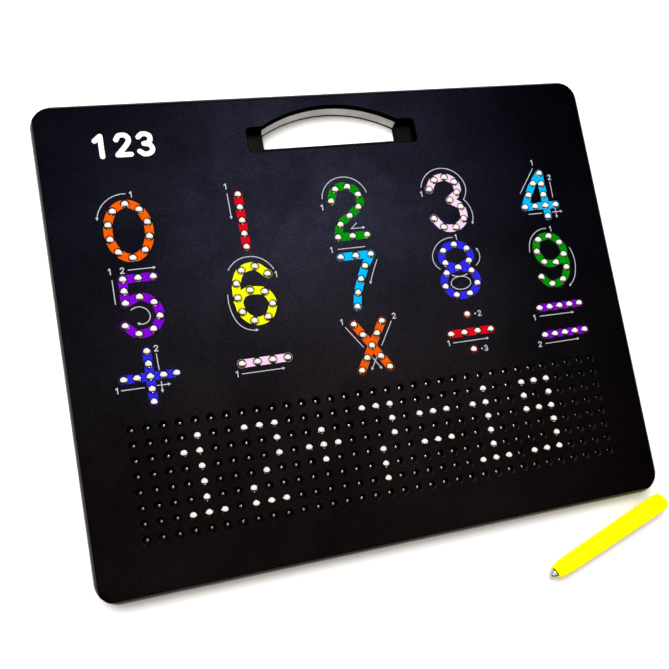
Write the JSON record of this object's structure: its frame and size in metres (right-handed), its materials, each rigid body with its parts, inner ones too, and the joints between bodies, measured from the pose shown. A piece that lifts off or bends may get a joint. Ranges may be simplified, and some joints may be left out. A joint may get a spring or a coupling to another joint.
{
  "type": "magnetic bead board",
  "caption": "Flat moulded board with steel beads captive in cells under a perforated face, printed number shapes, a handle opening and a magnetic stylus that pulls the beads up.",
  "frame": {"origin": "middle of the board's flat back face, which lies on the table", "axes": "+X to the right across the board, +Y towards the handle opening, +Z out of the face"},
  "size_m": [0.3124, 0.2872, 0.0123],
  "materials": {
    "shell_black": "satin moulded black plastic with a faint blue cast",
    "cover_black": "fine textured black plastic",
    "liner_grey": "smooth light grey plastic",
    "cell_plate_black": "plain moulded plastic",
    "sheet_grey": "thin soft sheet",
    "bead_steel": "polished steel ball",
    "screw_steel": "zinc plated self-tapping screw",
    "stylus_yellow": "bright yellow moulded plastic, satin gloss",
    "tip_steel": "polished steel nose",
    "magnet_nickel": "nickel plated magnet"
  },
  "bodies": {
    "board": {"case_screw_1": "screw_steel", "case_screw_2": "screw_steel", "case_screw_3": "screw_steel", "case_screw_4": "screw_steel", "case_screw_5": "screw_steel", "case_screw_6": "screw_steel", "front_panel": "shell_black", "back_cover": "cover_black", "handle_liner": "liner_grey", "bead_cell_plate": "cell_plate_black", "bead_retainer_sheet": "sheet_grey"},
    "stylus": {"stylus_barrel": "stylus_yellow", "stylus_end_cap": "stylus_yellow", "stylus_tip": "tip_steel", "stylus_magnet": "magnet_nickel"},
    "bead_grid_c04_r1": {"bead_grid_c04_r1": "bead_steel"},
    "bead_grid_c04_r2": {"bead_grid_c04_r2": "bead_steel"},
    "bead_grid_c04_r3": {"bead_grid_c04_r3": "bead_steel"},
    "bead_grid_c04_r4": {"bead_grid_c04_r4": "bead_steel"},
    "bead_grid_c04_r5": {"bead_grid_c04_r5": "bead_steel"},
    "bead_grid_c04_r6": {"bead_grid_c04_r6": "bead_steel"},
    "bead_grid_c04_r7": {"bead_grid_c04_r7": "bead_steel"},
    "bead_grid_c04_r8": {"bead_grid_c04_r8": "bead_steel"},
    "bead_grid_c05_r1": {"bead_grid_c05_r1": "bead_steel"},
    "bead_grid_c05_r2": {"bead_grid_c05_r2": "bead_steel"},
    "bead_grid_c05_r3": {"bead_grid_c05_r3": "bead_steel"},
    "bead_grid_c05_r4": {"bead_grid_c05_r4": "bead_steel"},
    "bead_grid_c05_r5": {"bead_grid_c05_r5": "bead_steel"},
    "bead_grid_c05_r6": {"bead_grid_c05_r6": "bead_steel"},
    "bead_grid_c05_r7": {"bead_grid_c05_r7": "bead_steel"},
    "bead_grid_c05_r8": {"bead_grid_c05_r8": "bead_steel"},
    "bead_grid_c06_r1": {"bead_grid_c06_r1": "bead_steel"},
    "bead_grid_c06_r2": {"bead_grid_c06_r2": "bead_steel"},
    "bead_grid_c06_r3": {"bead_grid_c06_r3": "bead_steel"},
    "bead_grid_c06_r4": {"bead_grid_c06_r4": "bead_steel"},
    "bead_grid_c06_r5": {"bead_grid_c06_r5": "bead_steel"},
    "bead_grid_c06_r6": {"bead_grid_c06_r6": "bead_steel"},
    "bead_grid_c06_r7": {"bead_grid_c06_r7": "bead_steel"},
    "bead_grid_c06_r8": {"bead_grid_c06_r8": "bead_steel"},
    "bead_grid_c07_r1": {"bead_grid_c07_r1": "bead_steel"},
    "bead_grid_c07_r2": {"bead_grid_c07_r2": "bead_steel"},
    "bead_grid_c07_r3": {"bead_grid_c07_r3": "bead_steel"},
    "bead_grid_c07_r4": {"bead_grid_c07_r4": "bead_steel"},
    "bead_grid_c07_r5": {"bead_grid_c07_r5": "bead_steel"},
    "bead_grid_c07_r6": {"bead_grid_c07_r6": "bead_steel"},
    "bead_grid_c07_r7": {"bead_grid_c07_r7": "bead_steel"},
    "bead_grid_c07_r8": {"bead_grid_c07_r8": "bead_steel"},
    "bead_grid_c08_r1": {"bead_grid_c08_r1": "bead_steel"},
    "bead_grid_c08_r2": {"bead_grid_c08_r2": "bead_steel"},
    "bead_grid_c08_r3": {"bead_grid_c08_r3": "bead_steel"},
    "bead_grid_c08_r4": {"bead_grid_c08_r4": "bead_steel"},
    "bead_grid_c08_r5": {"bead_grid_c08_r5": "bead_steel"},
    "bead_grid_c08_r6": {"bead_grid_c08_r6": "bead_steel"},
    "bead_grid_c08_r7": {"bead_grid_c08_r7": "bead_steel"},
    "bead_grid_c08_r8": {"bead_grid_c08_r8": "bead_steel"},
    "bead_one_1": {"bead_one_1": "bead_steel"},
    "bead_one_2": {"bead_one_2": "bead_steel"},
    "bead_one_3": {"bead_one_3": "bead_steel"},
    "bead_one_4": {"bead_one_4": "bead_steel"},
    "bead_one_5": {"bead_one_5": "bead_steel"}
  },
  "joints": [
    {"name": "stylus_lift", "type": "slide", "parent": "board", "child": "stylus", "axis": [0, 0, 1], "range_m": [0, 0.06]},
    {"name": "bead_grid_c04_r1_slide", "type": "slide", "parent": "board", "child": "bead_grid_c04_r1", "axis": [0, 0, 1], "range_m": [0, 0.0044]},
    {"name": "bead_grid_c04_r2_slide", "type": "slide", "parent": "board", "child": "bead_grid_c04_r2", "axis": [0, 0, 1], "range_m": [0, 0.0044]},
    {"name": "bead_grid_c04_r3_slide", "type": "slide", "parent": "board", "child": "bead_grid_c04_r3", "axis": [0, 0, 1], "range_m": [-0.0044, 0]},
    {"name": "bead_grid_c04_r4_slide", "type": "slide", "parent": "board", "child": "bead_grid_c04_r4", "axis": [0, 0, 1], "range_m": [0, 0.0044]},
    {"name": "bead_grid_c04_r5_slide", "type": "slide", "parent": "board", "child": "bead_grid_c04_r5", "axis": [0, 0, 1], "range_m": [0, 0.0044]},
    {"name": "bead_grid_c04_r6_slide", "type": "slide", "parent": "board", "child": "bead_grid_c04_r6", "axis": [0, 0, 1], "range_m": [0, 0.0044]},
    {"name": "bead_grid_c04_r7_slide", "type": "slide", "parent": "board", "child": "bead_grid_c04_r7", "axis": [0, 0, 1], "range_m": [-0.0044, 0]},
    {"name": "bead_grid_c04_r8_slide", "type": "slide", "parent": "board", "child": "bead_grid_c04_r8", "axis": [0, 0, 1], "range_m": [0, 0.0044]},
    {"name": "bead_grid_c05_r1_slide", "type": "slide", "parent": "board", "child": "bead_grid_c05_r1", "axis": [0, 0, 1], "range_m": [0, 0.0044]},
    {"name": "bead_grid_c05_r2_slide", "type": "slide", "parent": "board", "child": "bead_grid_c05_r2", "axis": [0, 0, 1], "range_m": [-0.0044, 0]},
    {"name": "bead_grid_c05_r3_slide", "type": "slide", "parent": "board", "child": "bead_grid_c05_r3", "axis": [0, 0, 1], "range_m": [-0.0044, 0]},
    {"name": "bead_grid_c05_r4_slide", "type": "slide", "parent": "board", "child": "bead_grid_c05_r4", "axis": [0, 0, 1], "range_m": [-0.0044, 0]},
    {"name": "bead_grid_c05_r5_slide", "type": "slide", "parent": "board", "child": "bead_grid_c05_r5", "axis": [0, 0, 1], "range_m": [-0.0044, 0]},
    {"name": "bead_grid_c05_r6_slide", "type": "slide", "parent": "board", "child": "bead_grid_c05_r6", "axis": [0, 0, 1], "range_m": [-0.0044, 0]},
    {"name": "bead_grid_c05_r7_slide", "type": "slide", "parent": "board", "child": "bead_grid_c05_r7", "axis": [0, 0, 1], "range_m": [-0.0044, 0]},
    {"name": "bead_grid_c05_r8_slide", "type": "slide", "parent": "board", "child": "bead_grid_c05_r8", "axis": [0, 0, 1], "range_m": [0, 0.0044]},
    {"name": "bead_grid_c06_r1_slide", "type": "slide", "parent": "board", "child": "bead_grid_c06_r1", "axis": [0, 0, 1], "range_m": [0, 0.0044]},
    {"name": "bead_grid_c06_r2_slide", "type": "slide", "parent": "board", "child": "bead_grid_c06_r2", "axis": [0, 0, 1], "range_m": [0, 0.0044]},
    {"name": "bead_grid_c06_r3_slide", "type": "slide", "parent": "board", "child": "bead_grid_c06_r3", "axis": [0, 0, 1], "range_m": [0, 0.0044]},
    {"name": "bead_grid_c06_r4_slide", "type": "slide", "parent": "board", "child": "bead_grid_c06_r4", "axis": [0, 0, 1], "range_m": [0, 0.0044]},
    {"name": "bead_grid_c06_r5_slide", "type": "slide", "parent": "board", "child": "bead_grid_c06_r5", "axis": [0, 0, 1], "range_m": [0, 0.0044]},
    {"name": "bead_grid_c06_r6_slide", "type": "slide", "parent": "board", "child": "bead_grid_c06_r6", "axis": [0, 0, 1], "range_m": [0, 0.0044]},
    {"name": "bead_grid_c06_r7_slide", "type": "slide", "parent": "board", "child": "bead_grid_c06_r7", "axis": [0, 0, 1], "range_m": [-0.0044, 0]},
    {"name": "bead_grid_c06_r8_slide", "type": "slide", "parent": "board", "child": "bead_grid_c06_r8", "axis": [0, 0, 1], "range_m": [0, 0.0044]},
    {"name": "bead_grid_c07_r1_slide", "type": "slide", "parent": "board", "child": "bead_grid_c07_r1", "axis": [0, 0, 1], "range_m": [0, 0.0044]},
    {"name": "bead_grid_c07_r2_slide", "type": "slide", "parent": "board", "child": "bead_grid_c07_r2", "axis": [0, 0, 1], "range_m": [0, 0.0044]},
    {"name": "bead_grid_c07_r3_slide", "type": "slide", "parent": "board", "child": "bead_grid_c07_r3", "axis": [0, 0, 1], "range_m": [0, 0.0044]},
    {"name": "bead_grid_c07_r4_slide", "type": "slide", "parent": "board", "child": "bead_grid_c07_r4", "axis": [0, 0, 1], "range_m": [0, 0.0044]},
    {"name": "bead_grid_c07_r5_slide", "type": "slide", "parent": "board", "child": "bead_grid_c07_r5", "axis": [0, 0, 1], "range_m": [0, 0.0044]},
    {"name": "bead_grid_c07_r6_slide", "type": "slide", "parent": "board", "child": "bead_grid_c07_r6", "axis": [0, 0, 1], "range_m": [0, 0.0044]},
    {"name": "bead_grid_c07_r7_slide", "type": "slide", "parent": "board", "child": "bead_grid_c07_r7", "axis": [0, 0, 1], "range_m": [0, 0.0044]},
    {"name": "bead_grid_c07_r8_slide", "type": "slide", "parent": "board", "child": "bead_grid_c07_r8", "axis": [0, 0, 1], "range_m": [0, 0.0044]},
    {"name": "bead_grid_c08_r1_slide", "type": "slide", "parent": "board", "child": "bead_grid_c08_r1", "axis": [0, 0, 1], "range_m": [0, 0.0044]},
    {"name": "bead_grid_c08_r2_slide", "type": "slide", "parent": "board", "child": "bead_grid_c08_r2", "axis": [0, 0, 1], "range_m": [-0.0044, 0]},
    {"name": "bead_grid_c08_r3_slide", "type": "slide", "parent": "board", "child": "bead_grid_c08_r3", "axis": [0, 0, 1], "range_m": [0, 0.0044]},
    {"name": "bead_grid_c08_r4_slide", "type": "slide", "parent": "board", "child": "bead_grid_c08_r4", "axis": [0, 0, 1], "range_m": [0, 0.0044]},
    {"name": "bead_grid_c08_r5_slide", "type": "slide", "parent": "board", "child": "bead_grid_c08_r5", "axis": [0, 0, 1], "range_m": [0, 0.0044]},
    {"name": "bead_grid_c08_r6_slide", "type": "slide", "parent": "board", "child": "bead_grid_c08_r6", "axis": [0, 0, 1], "range_m": [-0.0044, 0]},
    {"name": "bead_grid_c08_r7_slide", "type": "slide", "parent": "board", "child": "bead_grid_c08_r7", "axis": [0, 0, 1], "range_m": [-0.0044, 0]},
    {"name": "bead_grid_c08_r8_slide", "type": "slide", "parent": "board", "child": "bead_grid_c08_r8", "axis": [0, 0, 1], "range_m": [0, 0.0044]},
    {"name": "bead_one_1_slide", "type": "slide", "parent": "board", "child": "bead_one_1", "axis": [0, 0, 1], "range_m": [-0.0044, 0]},
    {"name": "bead_one_2_slide", "type": "slide", "parent": "board", "child": "bead_one_2", "axis": [0, 0, 1], "range_m": [-0.0044, 0]},
    {"name": "bead_one_3_slide", "type": "slide", "parent": "board", "child": "bead_one_3", "axis": [0, 0, 1], "range_m": [-0.0044, 0]},
    {"name": "bead_one_4_slide", "type": "slide", "parent": "board", "child": "bead_one_4", "axis": [0, 0, 1], "range_m": [-0.0044, 0]},
    {"name": "bead_one_5_slide", "type": "slide", "parent": "board", "child": "bead_one_5", "axis": [0, 0, 1], "range_m": [-0.0044, 0]}
  ]
}
